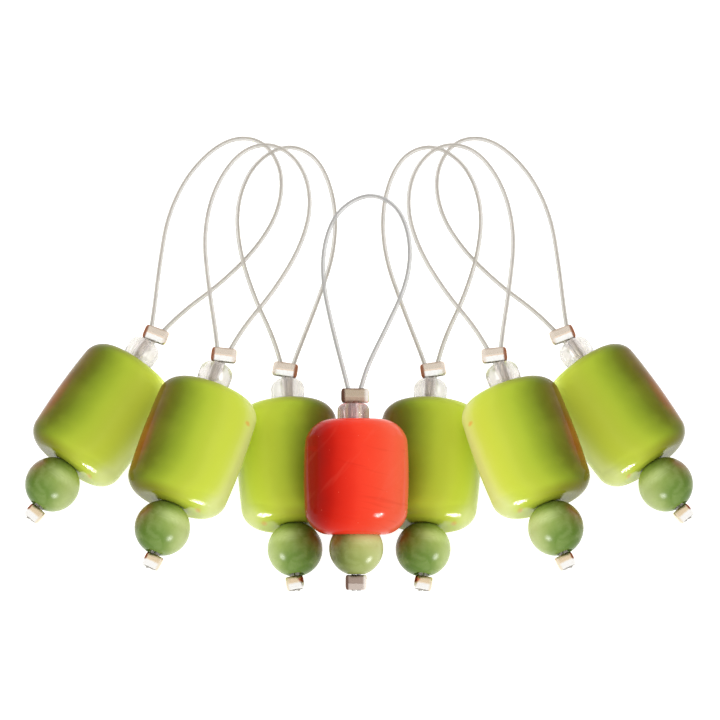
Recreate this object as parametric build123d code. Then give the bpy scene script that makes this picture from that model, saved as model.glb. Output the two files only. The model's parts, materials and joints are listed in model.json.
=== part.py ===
from build123d import *
import os
from math import cos, hypot, radians, sin, sqrt, tan

# A set of seven stitch markers fanned out on a table, six with lime beads and one with a red bead.
# Each marker is a doubled length of coated wire: its middle is the loop that slips over a knitting
# needle, and its two ends run down through a crimp, a clear seed bead, a large glass bead and a
# small cat's-eye ball to a second crimp, where they are cut off.
# Millimetres. X runs along the row, Y away from the viewer and Z up from the table.
# The origin is on the table, under the middle of the whole set.

# Wire
core_radius = 0.14
coat_radius = 0.25
wire_spacing = 0.56

# Running and resting clearances
stack_gap = 0.05
wire_fit = 0.04
rest_gap = 0.08

# Large glass beads
lime_radius = 5.7
lime_length = 13.6
lime_shoulder = 2.0
lime_belly = 0.3
lime_ball_sink = 0.35
red_radius = 5.65
red_length = 12.4
red_shoulder = 2.5
red_belly = 0.35
red_ball_sink = 1.5
red_seed_sink = 1.5
red_seed_pocket_radius = 3.65
large_bore_radius = 1.1
pocket_rim_radius = 0.12

# Clear seed beads
lime_seed_radius = 1.85
lime_seed_rounding = 1.15
red_seed_radius = 1.72
red_seed_rounding = 0.75
seed_length = 2.9
seed_bore_radius = 0.65

# Small cat's-eye balls
lime_ball_radius = 3.0
red_ball_radius = 2.9
ball_bore_radius = 0.8

# Crimps, each a short metal tube that is pressed flat
crimp_wall = 0.2
crimp_edge_radius = 0.09
crimp_crease_depth = 0.08
lime_neck_crimp_width = 2.8
lime_neck_crimp_length = 1.55
lime_neck_crimp_turn = 13.0
lime_tail_crimp_width = 2.0
lime_tail_crimp_length = 1.5
lime_tail_crimp_turn = -6.0
red_neck_crimp_width = 3.05
red_neck_crimp_length = 1.55
red_tail_crimp_width = 2.3
red_tail_crimp_length = 1.6
wire_stub = 0.1

# The pieces along the wire sit to one side of the large bead's axis, as far as the bores let it lie
lime_seed_offset = -0.42
lime_crimp_offset = -0.3
lime_tail_offset = 0.28
red_seed_offset = -0.3
red_crimp_offset = -0.1
red_tail_offset = 0.0

# Needle loops: overall width and length, and where the two legs leave the neck crimp
lime_loop_width = 11.1
lime_loop_length = 24.3
lime_exit_left = -1.3
lime_exit_right = 0.1
red_loop_width = 9.4
red_loop_length = 20.8
red_exit_left = -0.85
red_exit_right = 0.5
outer_loop_droop = 2.4
middle_loop_droop = 4.0

# How far each lime loop leans over in its own plane, in degrees
outer_loop_lean = 1.5
middle_loop_lean = 1.0
inner_loop_lean = -2.2

# Corners of each loop from the left leg round to the right one: across as a share of the loop's
# width, and along as a share of its length
lime_loop_shares = (
    (-0.355, 0.26), (-0.595, 0.50), (-0.665, 0.75), (-0.54, 0.97), (-0.23, 1.05),
    (0.12, 0.97), (0.33, 0.79), (0.36, 0.57), (0.26, 0.33), (0.12, 0.14),
)
red_loop_shares = (
    (-0.26, 0.32), (-0.37, 0.56), (-0.35, 0.76), (-0.19, 0.93), (0.17, 1.02),
    (0.50, 0.95), (0.65, 0.77), (0.61, 0.55), (0.35, 0.30), (0.15, 0.12),
)
bend_share = 0.48

# Places of the large beads on the table, in large lime bead diameters, and their turns in degrees
outer_across_share = 2.485
outer_along_share = 0.50
middle_across_share = 1.58
middle_along_share = 0.01
inner_across_share = 0.674
inner_along_share = 0.0
red_across_share = -0.027
red_along_share = -0.327
outer_turn = 33.9
middle_turn = 19.3
inner_turn = 4.2
red_tilt = 12.0
settling_steps = 40

# How far the right inner marker is drawn out along its own length, under the red bead
draw_out_travel = 52.0


def pocket_corners(side, half, bore, pocket_radius, sink):
    """Where one end of the large bead meets its bore: inner corner, halfway down the pocket, rim."""
    if not sink:
        return (bore, side * half), None, (bore, side * half)
    centre = half + pocket_radius - sink
    rim = sqrt(pocket_radius ** 2 - (pocket_radius - sink) ** 2)
    middle = (bore + rim) / 2
    inner, dip = (centre - sqrt(pocket_radius ** 2 - reach ** 2) for reach in (bore, middle))
    return (bore, side * inner), (middle, side * dip), (rim, side * half)


def corners_at(face, points):
    """The corners of a face that lie on the given points."""
    return [corner for corner in face.vertices()
            if any(hypot(corner.X - x, corner.Y - y) < pocket_rim_radius for x, y in points)]


def large_bead(kind):
    """A thick glass cylinder with bellied sides, round shoulders and a pocket for each neighbour."""
    half, bore = kind["length"] / 2, large_bore_radius
    edge = kind["radius"] - kind["belly"]
    low_in, low_dip, low_rim = pocket_corners(
        -1, half, bore, kind["ball_radius"] + stack_gap, kind["ball_sink"])
    high_in, high_dip, high_rim = pocket_corners(
        1, half, bore, kind["seed_pocket_radius"], kind["seed_sink"])
    outline = [
        Line(low_rim, (edge, -half)),
        ThreePointArc((edge, -half), (kind["radius"], 0), (edge, half)),
        Line((edge, half), high_rim),
        Line(high_in, low_in),
    ]
    rims = []
    for inner, dip, rim in ((low_in, low_dip, low_rim), (high_in, high_dip, high_rim)):
        if dip:
            outline.append(ThreePointArc(inner, dip, rim))
            rims.append(rim)
    face = make_face(outline)
    face = fillet(corners_at(face, [(edge, -half), (edge, half)]), kind["shoulder"])
    face = fillet(corners_at(face, rims), pocket_rim_radius)
    return revolve(face, Axis.Y, 360)


def seed_bead(kind, hand):
    """A short rounded tube of clear glass, a little to one side of the large bead's axis."""
    radius, half = kind["seed_radius"], seed_length / 2
    face = make_face(Polyline((seed_bore_radius, -half), (radius, -half), (radius, half),
                              (seed_bore_radius, half), close=True))
    face = fillet(corners_at(face, [(radius, -half), (radius, half)]), kind["seed_rounding"])
    return Pos(hand * kind["seed_offset"], kind["seed_place"], 0) * revolve(face, Axis.Y, 360)


def small_ball(kind):
    """A ball of cat's-eye glass with a bore for the doubled wire."""
    radius = kind["ball_radius"]
    bore = Rot(X=90) * Cylinder(ball_bore_radius, 2 * radius)
    return Pos(0, kind["ball_place"], 0) * (Sphere(radius) - bore)


def crimp(width, length, turn, centre, middle):
    """A metal tube pressed flat round both wires, with the plier's crease across its two faces."""
    inner_height = 2 * (coat_radius + wire_fit)
    height = inner_height + 2 * crimp_wall
    tube = extrude(Plane.XZ * SlotOverall(width, height), -length)
    tube = fillet(tube.edges().filter_by(Plane.XZ), crimp_edge_radius)
    tube -= extrude(Plane.XZ * SlotOverall(width - 2 * crimp_wall, inner_height), -length)
    crease = Box(width - height, length / 2, 2 * crimp_crease_depth,
                 align=(Align.CENTER, Align.MIN, Align.CENTER))
    for side in (-1, 1):
        tube -= Pos(0, 0, side * height / 2) * crease
    return Pos(centre, middle, 0) * Rot(Z=turn) * Pos(0, -length / 2, 0) * tube


def wire_route(kind, hand, droop, lean):
    """Corners of the doubled wire, from one cut end round the loop to the other."""
    exits = (kind["exit_left"], kind["exit_right"])
    neck = Vector(sum(exits) / 2, kind["neck_high"])
    legs = []
    for side, leave in zip((-1, 1), exits):
        from_axis = side * wire_spacing / 2
        legs.append([
            (kind["tail_offset"] + from_axis, kind["tail_end"] - wire_stub),
            (from_axis, -kind["length"] / 2),
            (kind["seed_offset"] + from_axis, kind["seed_low"]),
            (kind["seed_offset"] + from_axis, kind["neck_low"]),
            (leave, kind["neck_high"]),
        ])
    loop = []
    for across, along in kind["loop_shares"]:
        corner = neck + Vector(across * kind["loop_width"], along * kind["loop_length"]).rotate(Axis.Z, lean)
        loop.append((corner.X, corner.Y))
    slope = droop / kind["loop_length"]
    return [Vector(hand * x, y, -slope * max(y - kind["neck_high"], 0))
            for x, y in legs[0] + loop + legs[1][::-1]]


def bend_radii(route):
    """A bend for each corner of a route, as wide as its two runs allow."""
    radii = []
    for before, corner, after in zip(route, route[1:], route[2:]):
        run_in, run_out = corner - before, after - corner
        half_turn = radians(run_in.get_angle(run_out)) / 2
        radii.append(bend_share * min(run_in.length, run_out.length) / tan(half_turn))
    return radii


def wire(route):
    """The metal core and the clear coat round it, swept along one route."""
    path = FilletPolyline(*route, radius=bend_radii(route))
    start = Plane(origin=path @ 0, z_dir=path % 0)
    core = sweep(start * Circle(core_radius), path)
    coat = sweep(start * (Circle(coat_radius) - Circle(core_radius)), path)
    return core, coat


def crimp_reach(kind, end):
    """How much of the wire's length a crimp takes up, turned as it is."""
    turn = radians(abs(kind[f"{end}_crimp_turn"]))
    return kind[f"{end}_crimp_length"] * cos(turn) + kind[f"{end}_crimp_width"] * sin(turn)


def stack(kind):
    """Work out where each piece sits along the wire, outwards from the large bead's middle."""
    half = kind["length"] / 2
    kind["ball_place"] = -(half + kind["ball_radius"] + stack_gap - kind["ball_sink"])
    ball_flat = sqrt(kind["ball_radius"] ** 2 - ball_bore_radius ** 2)
    kind["tail_high"] = kind["ball_place"] - ball_flat - stack_gap
    kind["tail_middle"] = kind["tail_high"] - crimp_reach(kind, "tail") / 2
    kind["tail_end"] = kind["tail_middle"] - kind["tail_crimp_length"] / 2
    kind["seed_low"] = half + stack_gap
    if kind["seed_sink"]:
        pocket = kind["seed_pocket_radius"]
        reach = kind["seed_radius"] - kind["seed_rounding"] + abs(kind["seed_offset"])
        drop = sqrt((pocket - kind["seed_rounding"] - stack_gap) ** 2 - reach ** 2)
        kind["seed_low"] = half + pocket - kind["seed_sink"] - drop - kind["seed_rounding"]
    kind["seed_place"] = kind["seed_low"] + seed_length / 2
    kind["neck_low"] = kind["seed_low"] + seed_length + stack_gap
    kind["neck_middle"] = kind["neck_low"] + crimp_reach(kind, "neck") / 2
    kind["neck_high"] = kind["neck_middle"] + kind["neck_crimp_length"] / 2
    return kind


lime = stack(dict(
    radius=lime_radius, length=lime_length, shoulder=lime_shoulder, belly=lime_belly,
    ball_radius=lime_ball_radius, ball_sink=lime_ball_sink,
    seed_radius=lime_seed_radius, seed_rounding=lime_seed_rounding, seed_offset=lime_seed_offset,
    seed_sink=0, seed_pocket_radius=0,
    neck_crimp_width=lime_neck_crimp_width, neck_crimp_length=lime_neck_crimp_length,
    neck_crimp_turn=lime_neck_crimp_turn, tail_crimp_turn=lime_tail_crimp_turn,
    tail_crimp_width=lime_tail_crimp_width, tail_crimp_length=lime_tail_crimp_length,
    crimp_offset=lime_crimp_offset, tail_offset=lime_tail_offset,
    exit_left=lime_exit_left, exit_right=lime_exit_right,
    loop_width=lime_loop_width, loop_length=lime_loop_length, loop_shares=lime_loop_shares,
))
red = stack(dict(
    radius=red_radius, length=red_length, shoulder=red_shoulder, belly=red_belly,
    ball_radius=red_ball_radius, ball_sink=red_ball_sink,
    seed_radius=red_seed_radius, seed_rounding=red_seed_rounding, seed_offset=red_seed_offset,
    seed_sink=red_seed_sink, seed_pocket_radius=red_seed_pocket_radius,
    neck_crimp_width=red_neck_crimp_width, neck_crimp_length=red_neck_crimp_length,
    neck_crimp_turn=0, tail_crimp_turn=0,
    tail_crimp_width=red_tail_crimp_width, tail_crimp_length=red_tail_crimp_length,
    crimp_offset=red_crimp_offset, tail_offset=red_tail_offset,
    exit_left=red_exit_left, exit_right=red_exit_right,
    loop_width=red_loop_width, loop_length=red_loop_length, loop_shares=red_loop_shares,
))


def marker(kind, hand, droop, lean):
    """The seven pieces of one marker about its large bead's middle, loop towards +Y."""
    core, coat = wire(wire_route(kind, hand, droop, lean))
    return {
        "wire_core": core,
        "wire_coating": coat,
        "neck_crimp": crimp(kind["neck_crimp_width"], kind["neck_crimp_length"], hand * kind["neck_crimp_turn"],
                            hand * kind["crimp_offset"], kind["neck_middle"]),
        "seed_bead": seed_bead(kind, hand),
        "large_bead": large_bead(kind),
        "small_ball": small_ball(kind),
        "tail_crimp": crimp(kind["tail_crimp_width"], kind["tail_crimp_length"], hand * kind["tail_crimp_turn"],
                            hand * kind["tail_offset"], kind["tail_middle"]),
    }


def settle(bead, rests_on):
    """Lower a bead from above until it lies one resting gap off the nearest bead under it."""
    height = 4 * lime_radius
    for _ in range(settling_steps):
        lowered = Pos(0, 0, height) * bead
        height -= min(lowered.distance_to(other) for other in rests_on) - rest_gap
    return height


def drawn_path(frame):
    """The round space that a lime bead's belly passes through as its marker is drawn out."""
    return frame * Pos(0, -draw_out_travel / 2, 0) * Rot(X=90) * Cylinder(lime_radius, draw_out_travel)


bead_width = 2 * lime_radius
places = {
    "left_outer": (-outer_across_share, outer_along_share, -outer_turn),
    "left_middle": (-middle_across_share, middle_along_share, -middle_turn),
    "left_inner": (-inner_across_share, inner_along_share, inner_turn),
    "red": (red_across_share, red_along_share, 0),
    "right_inner": (inner_across_share, inner_along_share, -inner_turn),
    "right_middle": (middle_across_share, middle_along_share, middle_turn),
    "right_outer": (outer_across_share, outer_along_share, outer_turn),
}
hands = {"left_inner": -1, "right_middle": -1, "right_outer": -1}
droops = {"outer": outer_loop_droop, "middle": middle_loop_droop}
leans = {"outer": outer_loop_lean, "middle": middle_loop_lean, "inner": inner_loop_lean}
rests = {
    "left_middle": ("left_outer", "left_inner"),
    "right_middle": ("right_outer", "right_inner"),
    "red": ("left_inner", "right_inner"),
}

# The four lowest beads lie on the table, and the other three settle on them, the red one high
# enough to leave the right inner bead its way out
large_beads = {}
frames = {}
for name in sorted(places, key=lambda place: place in rests):
    across, along, turn = places[name]
    kind, tilt = (red, red_tilt) if name == "red" else (lime, 0)
    flat = Location((across * bead_width, along * bead_width, 0), (tilt, 0, turn))
    if name in rests:
        rests_on = [large_beads[other] for other in rests[name]]
        if name == "red":
            rests_on.append(drawn_path(frames["right_inner"]))
        height = settle(flat * large_bead(kind), rests_on)
    else:
        height = kind["radius"]
    frames[name] = Pos(0, 0, height) * flat
    large_beads[name] = frames[name] * large_bead(kind)

pieces = {}
for name, frame in frames.items():
    kind = red if name == "red" else lime
    place = name.split("_")[-1]
    for piece, solid in marker(kind, hands.get(name, 1), droops.get(place, 0), leans.get(place, 0)).items():
        pieces[f"{name}_{piece}"] = frame * solid

# Bring the middle of the set over the origin, with the beads on the table
box = Compound(children=[Solid(piece.solid().wrapped) for piece in pieces.values()]).bounding_box()
centring = Pos(-box.center().X, -box.center().Y, 0)

os.makedirs("parts", exist_ok=True)
for node, solid in pieces.items():
    export_step(centring * solid, f"parts/{node}.step")
for name, frame in frames.items():
    print(name, (centring * frame).position)
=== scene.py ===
"""Looks of a fanned-out set of seven beaded stitch markers, built round their fixed frame."""

import json
import logging
from dataclasses import dataclass, field
from enum import Enum
from functools import partial, reduce

import bpy
import numpy as np
from bpy.types import ID, Material, Node, NodeSocket, NodeTree, Object, World
from mathutils import Matrix, Vector

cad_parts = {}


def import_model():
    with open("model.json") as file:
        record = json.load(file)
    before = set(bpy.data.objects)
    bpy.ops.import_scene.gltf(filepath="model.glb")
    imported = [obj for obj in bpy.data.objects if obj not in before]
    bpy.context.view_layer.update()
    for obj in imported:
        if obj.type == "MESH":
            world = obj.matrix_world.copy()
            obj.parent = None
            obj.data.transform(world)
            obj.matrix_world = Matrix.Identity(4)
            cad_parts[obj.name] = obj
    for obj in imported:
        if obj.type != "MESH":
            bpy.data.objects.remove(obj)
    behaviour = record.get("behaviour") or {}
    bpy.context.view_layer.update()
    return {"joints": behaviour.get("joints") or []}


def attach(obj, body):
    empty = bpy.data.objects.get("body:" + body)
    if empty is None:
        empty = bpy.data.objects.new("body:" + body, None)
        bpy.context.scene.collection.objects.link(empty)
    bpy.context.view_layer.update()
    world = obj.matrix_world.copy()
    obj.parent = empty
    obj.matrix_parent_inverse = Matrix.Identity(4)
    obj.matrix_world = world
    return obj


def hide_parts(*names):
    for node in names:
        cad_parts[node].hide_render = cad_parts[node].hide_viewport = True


LOG = logging.getLogger("stitch_markers")
MM = 0.001


class Glass(Enum):
    """The glass that a marker's large bead is pressed from."""

    LIME = "lime_glass"
    RED = "red_glass"


class Hand(Enum):
    """Which way round a marker lies: its shaded side to the left, or mirrored."""

    SHADED_LEFT = 1
    SHADED_RIGHT = -1


def srgb(red: float, green: float, blue: float) -> tuple[float, float, float, float]:
    """Turn a display colour, of 0 to 255 a channel, into nodes' linear colour by the sRGB curve."""
    values = np.array([red, green, blue]) / 255
    linear = np.where(values <= 0.04045, values / 12.92, ((values + 0.055) / 1.055) ** 2.4)
    return tuple(float(v) for v in linear) + (1.0,)


@dataclass(frozen=True)
class Crimp:
    """One crimp of a marker: its sizes and place in millimetres, and its turn in degrees."""

    node: str
    width: float
    length: float
    turn: float
    offset: float
    middle: float


@dataclass(frozen=True)
class MarkerSizes:
    """Sizes of one kind of marker, in millimetres, and its crimps' turns in degrees.

    Places along the marker count from the large bead's middle.
    """

    bead_radius: float = 5.7
    bead_length: float = 13.6
    bead_shoulder: float = 2.0
    bead_belly: float = 0.3
    bead_bore: float = 1.1
    ball_radius: float = 3.0
    ball_bore: float = 0.8
    ball_sink: float = 0.35
    seed_radius: float = 1.85
    seed_rounding: float = 1.15
    seed_length: float = 2.9
    seed_bore: float = 0.65
    seed_sink: float = 0.0
    seed_pocket: float = 0.0
    seed_offset: float = -0.42
    crimp_offset: float = -0.3
    tail_offset: float = 0.28
    crimp_height: float = 0.98
    crimp_wall: float = 0.2
    neck_width: float = 2.8
    neck_length: float = 1.55
    neck_turn: float = 13.0
    tail_width: float = 2.0
    tail_length: float = 1.5
    tail_turn: float = -6.0
    gap: float = 0.05
    rim: float = 0.12
    loop_width: float = 11.1
    loop_length: float = 24.3
    exit_left: float = -1.3
    exit_right: float = 0.1
    loop_shares: tuple = (
        (-0.355, 0.26), (-0.595, 0.50), (-0.665, 0.75), (-0.54, 0.97), (-0.23, 1.05),
        (0.12, 0.97), (0.33, 0.79), (0.36, 0.57), (0.26, 0.33), (0.12, 0.14),
    )

    @property
    def half(self) -> float:
        """Half the large bead's length."""
        return self.bead_length / 2

    @property
    def ball_place(self) -> float:
        """Middle of the small ball along the marker."""
        return -(self.half + self.ball_radius + self.gap - self.ball_sink)

    @property
    def tail_high(self) -> float:
        """Upper end of the tail crimp, just under the flat round the ball's bore."""
        return self.ball_place - np.sqrt(self.ball_radius ** 2 - self.ball_bore ** 2) - self.gap

    @property
    def tail_middle(self) -> float:
        """Middle of the tail crimp along the marker."""
        return self.tail_high - self.reach(self.tail_length, self.tail_width, self.tail_turn) / 2

    @property
    def tail_end(self) -> float:
        """Lower end of the tail crimp."""
        return self.tail_middle - self.tail_length / 2

    @property
    def seed_low(self) -> float:
        """Lower end of the seed bead, on the large bead's end or down in its pocket."""
        if not self.seed_sink:
            return self.half + self.gap
        reach = self.seed_radius - self.seed_rounding + abs(self.seed_offset)
        drop = np.sqrt((self.seed_pocket - self.seed_rounding - self.gap) ** 2 - reach ** 2)
        return self.half + self.seed_pocket - self.seed_sink - drop - self.seed_rounding

    @property
    def seed_middle(self) -> float:
        """Middle of the seed bead along the marker."""
        return self.seed_low + self.seed_length / 2

    @property
    def neck_low(self) -> float:
        """Lower end of the neck crimp."""
        return self.seed_low + self.seed_length + self.gap

    @property
    def neck_middle(self) -> float:
        """Middle of the neck crimp along the marker."""
        return self.neck_low + self.reach(self.neck_length, self.neck_width, self.neck_turn) / 2

    @property
    def neck_high(self) -> float:
        """Where the loop starts."""
        return self.neck_middle + self.neck_length / 2

    @property
    def crimps(self) -> tuple[Crimp, Crimp]:
        """The two crimps."""
        return (Crimp("neck_crimp", self.neck_width, self.neck_length, self.neck_turn,
                      self.crimp_offset, self.neck_middle),
                Crimp("tail_crimp", self.tail_width, self.tail_length, self.tail_turn,
                      self.tail_offset, self.tail_middle))

    def reach(self, length: float, width: float, turn: float) -> float:
        """How much of the marker's length a crimp takes up, turned as it is."""
        angle = np.radians(abs(turn))
        return length * np.cos(angle) + width * np.sin(angle)


LIME_SIZES = MarkerSizes()
RED_SIZES = MarkerSizes(
    bead_radius=5.65, bead_length=12.4, bead_shoulder=2.5, bead_belly=0.35, ball_radius=2.9, ball_sink=1.5,
    seed_radius=1.72, seed_rounding=0.75, seed_sink=1.5, seed_pocket=3.65, seed_offset=-0.3,
    crimp_offset=-0.1, tail_offset=0.0, neck_width=3.05, neck_length=1.55, neck_turn=0.0,
    tail_width=2.3, tail_length=1.6, tail_turn=0.0,
    loop_width=9.4, loop_length=20.8, exit_left=-0.85, exit_right=0.5,
    loop_shares=(
        (-0.26, 0.32), (-0.37, 0.56), (-0.35, 0.76), (-0.19, 0.93), (0.17, 1.02),
        (0.50, 0.95), (0.65, 0.77), (0.61, 0.55), (0.35, 0.30), (0.15, 0.12),
    ),
)


@dataclass
class Seat:
    """Where one marker lies: its large bead's middle and its own three directions.

    The droop is how far its loop falls over the loop's length, and the lean how far the loop turns
    over in its own plane, in degrees.
    """

    name: str
    hand: Hand
    glass: Glass
    droop: float = 0.0
    lean: float = 0.0
    matrix: Matrix = field(default_factory=Matrix)

    def find(self, joints: list[dict]) -> "Seat":
        """Take the place and direction of the marker from the joint that its large bead turns on.

        Args:
            joints: the frame's joints.
        Returns:
            The seat itself, with its matrix in millimetres set.
        """
        joint = next(j for j in joints if j["name"] == f"{self.name}_large_bead_spin")
        along = Vector(joint["axis"]).normalized()
        across = along.cross(Vector((0, 0, 1))).normalized()
        up = across.cross(along)
        turn = Matrix((across, along, up)).transposed().to_4x4()
        self.matrix = Matrix.Translation(Vector(joint["pos_m"]) / MM) @ turn
        return self

    @property
    def sizes(self) -> MarkerSizes:
        """The sizes of this marker's kind."""
        return RED_SIZES if self.glass is Glass.RED else LIME_SIZES

    def out(self, points: np.ndarray) -> np.ndarray:
        """Carry points from the marker's own millimetres, shaded side at -X, to metres in the frame."""
        own = points * np.array([self.hand.value, 1, 1])
        turn = np.array(self.matrix)
        return (own @ turn[:3, :3].T + turn[:3, 3]) * MM

    def point(self, x: float, y: float, z: float) -> Vector:
        """One point of the marker, in metres in the frame."""
        return Vector(self.out(np.array([[x, y, z]]))[0])

    def direction(self, x: float, y: float, z: float) -> Vector:
        """One direction of the marker, in the frame."""
        return (self.point(x, y, z) - self.point(0, 0, 0)).normalized()


SEATS = (
    Seat("left_outer", Hand.SHADED_LEFT, Glass.LIME, droop=2.4, lean=1.5),
    Seat("left_middle", Hand.SHADED_LEFT, Glass.LIME, droop=4.0, lean=1.0),
    Seat("left_inner", Hand.SHADED_RIGHT, Glass.LIME, lean=-2.2),
    Seat("red", Hand.SHADED_LEFT, Glass.RED),
    Seat("right_inner", Hand.SHADED_LEFT, Glass.LIME, lean=-2.2),
    Seat("right_middle", Hand.SHADED_RIGHT, Glass.LIME, droop=4.0, lean=1.0),
    Seat("right_outer", Hand.SHADED_RIGHT, Glass.LIME, droop=2.4, lean=1.5),
)


def new_object(name: str, data: ID) -> Object:
    """Add an object with the given data to the scene."""
    thing = bpy.data.objects.new(name, data)
    bpy.context.scene.collection.objects.link(thing)
    return thing


def solid_mesh(name: str, grid: np.ndarray, ring: bool) -> Object:
    """Make a closed smooth mesh from a grid of points.

    Neighbours in the grid share faces, the second way always closes on itself, and the first way
    either closes too, as a ring does, or ends in two flat caps. The faces point outwards: their
    signed volume, the sum of a . (b x c) / 6 over their triangles, is made positive.

    Args:
        name: the piece's name.
        grid: points in metres, as (rows, columns, 3).
        ring: whether the last row joins the first.
    Returns:
        The object, at the origin.
    """
    rows, columns = grid.shape[:2]
    points = grid.reshape(-1, 3)
    index = np.arange(rows * columns).reshape(rows, columns)
    low = index if ring else index[:-1]
    high = np.roll(index, -1, axis=0) if ring else index[1:]
    quads = np.stack([low, np.roll(low, -1, axis=1), np.roll(high, -1, axis=1), high], axis=-1)
    quads = quads.reshape(-1, 4)
    a, b, c, d = (points[quads[:, k]] for k in range(4))
    volume = (a * np.cross(b, c)).sum() + (a * np.cross(c, d)).sum()
    caps = [] if ring else [index[0][::-1], index[-1]]
    if volume < 0:
        quads = quads[:, ::-1]
        caps = [cap[::-1] for cap in caps]
    mesh = bpy.data.meshes.new(name)
    mesh.from_pydata(points, [], quads.tolist() + [cap.tolist() for cap in caps])
    mesh.polygons.foreach_set("use_smooth", np.arange(len(mesh.polygons)) < len(quads))
    mesh.update()
    return new_object(name, mesh)


def arc(centre: tuple[float, float], radius: float, start: float, end: float, steps: int) -> np.ndarray:
    """Points (across, along) on an arc: centre plus radius times the cosine and sine of the angle."""
    angle = np.radians(np.linspace(start, end, steps))
    return np.column_stack([centre[0] + radius * np.cos(angle), centre[1] + radius * np.sin(angle)])


def straight(start: tuple[float, float], end: tuple[float, float], steps: int) -> np.ndarray:
    """Points (across, along) evenly spaced between two ends, which are left out themselves."""
    share = np.linspace(0, 1, steps + 2)[1:-1, None]
    return np.array(start) * (1 - share) + np.array(end) * share


def barrel(edge: float, half: float, rounding: float, starts: tuple, steps: tuple) -> np.ndarray:
    """The outside of a round bead: a flat end, a shoulder that is an arc, the side, and the same back.

    Args:
        edge: its radius.
        half: half its length.
        rounding: the radius of its shoulders.
        starts: how far out its two flat ends start, the low end first.
        steps: points in a flat end, in a shoulder and along the side.
    Returns:
        Points (across, along), from the low end to the high one.
    """
    flat, shoulder, side = steps
    inner, high = edge - rounding, half - rounding
    return np.concatenate([
        straight((starts[0], -half), (inner, -half), flat),
        arc((inner, -high), rounding, -90, 0, shoulder),
        straight((edge, -high), (edge, high), side),
        arc((inner, high), rounding, 0, 90, shoulder),
        straight((inner, half), (starts[1], half), flat),
    ])


def lathe(outline: np.ndarray, steps: int) -> np.ndarray:
    """Turn an outline about the marker's length.

    A point (across, along) at angle t goes to (across cos t, along, across sin t).

    Args:
        outline: points (across, along), as a closed line round the bore's wall.
        steps: how many copies of the outline go round.
    Returns:
        The grid of points, as (outline, steps, 3).
    """
    angle = even_angles(steps)
    across, along = outline[:, :1], outline[:, 1:]
    return np.stack([across * np.cos(angle), along + 0 * angle, across * np.sin(angle)], axis=-1)


def rounded_route(corners: np.ndarray, steps: int) -> np.ndarray:
    """Round every corner of a route with a parabola from halfway along one run to halfway along the next.

    With a and b the halfway points and p the corner, the line is (1-t)^2 a + 2t(1-t) p + t^2 b.

    Args:
        corners: the route's corners, as (count, 3).
        steps: points to a corner.
    Returns:
        Points along the smooth route, its two ends included.
    """
    halfway = (corners[1:] + corners[:-1]) / 2
    halfway[0], halfway[-1] = corners[0], corners[-1]
    t = np.linspace(0, 1, steps, endpoint=False)[None, :, None]
    before, corner, after = halfway[:-1, None], corners[1:-1, None], halfway[1:, None]
    bends = (1 - t) ** 2 * before + 2 * t * (1 - t) * corner + t ** 2 * after
    return np.concatenate([bends.reshape(-1, 3), corners[-1:]])


def even_spacing(route: np.ndarray, spacing: float) -> np.ndarray:
    """Space a route's points evenly, by their distance along it."""
    run = np.concatenate([[0], np.cumsum(np.linalg.norm(np.diff(route, axis=0), axis=1))])
    wanted = np.linspace(0, run[-1], int(run[-1] / spacing) + 1)
    return np.stack([np.interp(wanted, run, route[:, k]) for k in range(3)], axis=-1)


def unit_rows(rows: np.ndarray) -> np.ndarray:
    """Scale every row to a length of 1."""
    return rows / np.linalg.norm(rows, axis=1)[:, None]


def tube_grid(route: np.ndarray, radius: np.ndarray, angle: np.ndarray) -> np.ndarray:
    """Carry a round outline along a route that lies nearly flat.

    Each point is the route's point, plus the radius times cos(angle) to the side and sin(angle)
    upwards. The side is the route's direction crossed with the marker's own up.

    Args:
        route: points of the route.
        radius: the outline's radius, as (points, angles) or one number for all.
        angle: the angles round the outline.
    Returns:
        The grid of points.
    """
    ahead = unit_rows(np.gradient(route, axis=0))
    side = unit_rows(np.cross(ahead, np.array([0.0, 0.0, 1.0])))
    up = np.cross(side, ahead)
    wide = (radius * np.cos(angle) + 0 * route[:, :1])[..., None]
    tall = (radius * np.sin(angle) + 0 * route[:, :1])[..., None]
    return route[:, None] + wide * side[:, None] + tall * up[:, None]


def even_angles(steps: int) -> np.ndarray:
    """Angles evenly spaced round a full turn, in radians."""
    return np.linspace(0, 2 * np.pi, steps, endpoint=False)


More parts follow.
